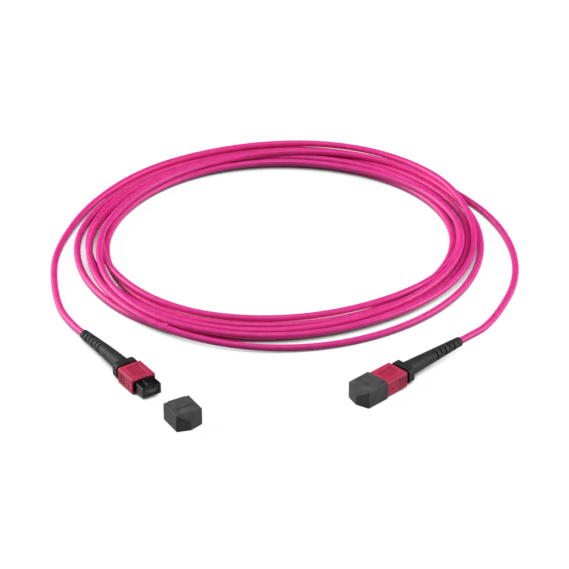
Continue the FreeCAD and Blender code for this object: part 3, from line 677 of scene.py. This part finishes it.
# Studio: a floor that glows white to the camera and in reflections; in narrow slits between strands an
# ambient-occlusion mask dims that glow, as painted shade. Broad soft lamps stand at both sides and above, and the
# camera looks down as in the photograph.
FLOOR_HALF = 6
FLOOR_WHITE = 0.90
SLIT_REACH = 0.005
SLIT_SHUT = 0.15
SLIT_OPEN = 0.46
floor_mesh = bpy.data.meshes.new("studio_floor")
floor_mesh.from_pydata([(-FLOOR_HALF, -FLOOR_HALF, 0), (FLOOR_HALF, -FLOOR_HALF, 0), (FLOOR_HALF, FLOOR_HALF, 0),
                        (-FLOOR_HALF, FLOOR_HALF, 0)], [], [(0, 1, 2, 3)])
floor = bpy.data.objects.new("studio_floor", floor_mesh)
bpy.context.scene.collection.objects.link(floor)
floor_paint = bpy.data.materials.new("studio_floor")
floor_paint.use_nodes = True
floor_nodes = floor_paint.node_tree.nodes
floor_links = floor_paint.node_tree.links
floor_skin = floor_nodes["Principled BSDF"]
floor_skin.inputs["Base Color"].default_value = (0.12, 0.12, 0.12, 1)
floor_skin.inputs["Roughness"].default_value = 0.9
floor_skin.inputs["Specular IOR Level"].default_value = 0.1
floor_ray = floor_nodes.new("ShaderNodeLightPath")
floor_mirrored = floor_nodes.new("ShaderNodeMath")
floor_mirrored.operation = "MAXIMUM"
floor_links.new(floor_ray.outputs["Is Glossy Ray"], floor_mirrored.inputs[0])
floor_links.new(floor_ray.outputs["Is Transmission Ray"], floor_mirrored.inputs[1])
floor_seen = floor_nodes.new("ShaderNodeMath")
floor_seen.operation = "MAXIMUM"
floor_links.new(floor_ray.outputs["Is Camera Ray"], floor_seen.inputs[0])
floor_links.new(floor_mirrored.outputs["Value"], floor_seen.inputs[1])
floor_lift = floor_nodes.new("ShaderNodeMath")
floor_lift.operation = "MULTIPLY"
floor_lift.inputs[1].default_value = FLOOR_WHITE
floor_links.new(floor_seen.outputs["Value"], floor_lift.inputs[0])
# Ambient occlusion, mapped between SLIT_SHUT and SLIT_OPEN, dims the floor's glow in narrow slits: painted shade.
floor_sky = floor_nodes.new("ShaderNodeAmbientOcclusion")
floor_sky.samples = 8
floor_sky.inputs["Distance"].default_value = SLIT_REACH
floor_open = floor_nodes.new("ShaderNodeMapRange")
floor_open.inputs["From Min"].default_value = SLIT_SHUT
floor_open.inputs["From Max"].default_value = SLIT_OPEN
floor_links.new(floor_sky.outputs["AO"], floor_open.inputs["Value"])
floor_glow = floor_nodes.new("ShaderNodeMath")
floor_glow.operation = "MULTIPLY"
floor_links.new(floor_lift.outputs["Value"], floor_glow.inputs[0])
floor_links.new(floor_open.outputs["Result"], floor_glow.inputs[1])
floor_skin.inputs["Emission Color"].default_value = (1, 1, 1, 1)
floor_links.new(floor_glow.outputs["Value"], floor_skin.inputs["Emission Strength"])
floor_mesh.materials.append(floor_paint)

world = bpy.data.worlds.new("studio")
world.use_nodes = True
world.node_tree.nodes["Background"].inputs["Color"].default_value = (1, 1, 1, 1)
world.node_tree.nodes["Background"].inputs["Strength"].default_value = 0.04
bpy.context.scene.world = world
LAMP_AIM = np.array((0.0, 0.1, 0.0))
for lamp_name, place, size, power in (
        ("lamp_left", (-1.28, 0.50, 0.52), 0.9, 24.5),
        ("lamp_right", (1.28, 0.08, 0.52), 0.9, 15.5),
        ("lamp_top", (0.0, -0.38, 1.62), 1.0, 13.0)):
    lamp_data = bpy.data.lights.new(lamp_name, "AREA")
    lamp_data.size = size
    lamp_data.energy = power
    lamp = bpy.data.objects.new(lamp_name, lamp_data)
    lamp.location = place
    aim = LAMP_AIM - place
    lamp.rotation_euler = (math.atan2(math.hypot(aim[0], aim[1]), -aim[2]), 0, math.atan2(-aim[0], aim[1]))
    bpy.context.scene.collection.objects.link(lamp)

CAMERA_AT = (0.0064, -1.0619, 0.6943)
CAMERA_TILT = 58.875
CAMERA_ANGLE = 11.73
camera_data = bpy.data.cameras.new("camera")
camera_data.sensor_fit = "HORIZONTAL"
camera_data.angle = math.radians(CAMERA_ANGLE)
camera = bpy.data.objects.new("camera", camera_data)
camera.location = CAMERA_AT
camera.rotation_euler = (math.radians(CAMERA_TILT), 0, 0)
bpy.context.scene.collection.objects.link(camera)
bpy.context.scene.camera = camera
bpy.context.scene.view_settings.view_transform = "Standard"
